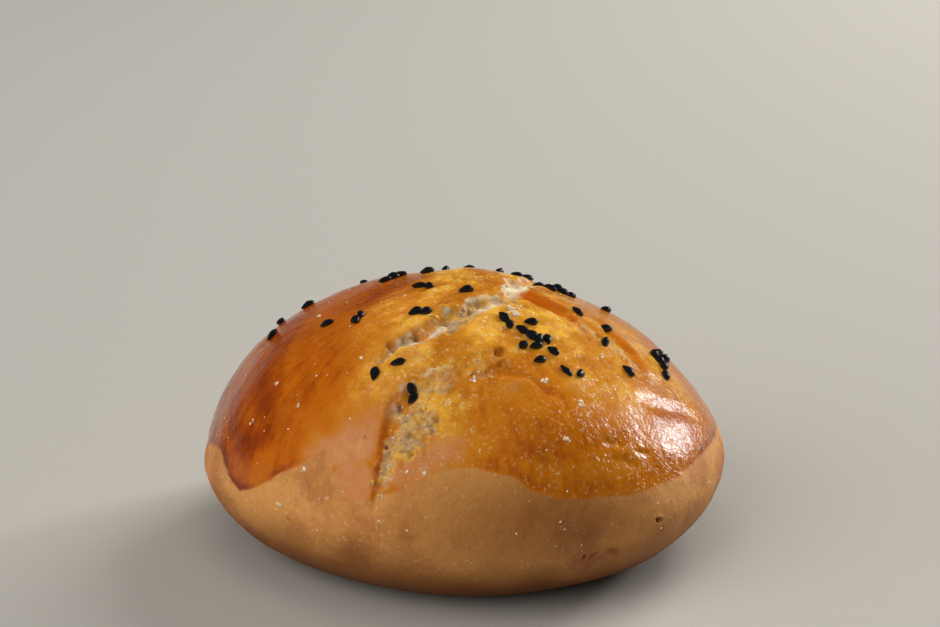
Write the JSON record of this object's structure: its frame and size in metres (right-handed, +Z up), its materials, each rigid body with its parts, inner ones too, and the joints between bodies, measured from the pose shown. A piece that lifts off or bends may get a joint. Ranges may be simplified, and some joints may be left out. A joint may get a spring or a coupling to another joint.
{
  "type": "bread roll",
  "caption": "Round soft bread roll with an egg-washed crust, a torn crown showing the crumb, and nigella seeds baked onto the top.",
  "frame": {"origin": "middle of the roll's bounding box, on the flat base it rests on", "axes": "+Z up through the crown, +X towards the roll's right, -Y towards its front, where the long front tear runs down"},
  "size_m": [0.1062, 0.099, 0.0547],
  "materials": {
    "crust": "satin egg glaze over the top, matt bare dough below",
    "seed": "matt, finely wrinkled",
    "crumb": "matt, crumbly",
    "flour": "matt powder"
  },
  "bodies": {
    "root": {"bread_roll": "crust"}
  },
  "joints": []
}
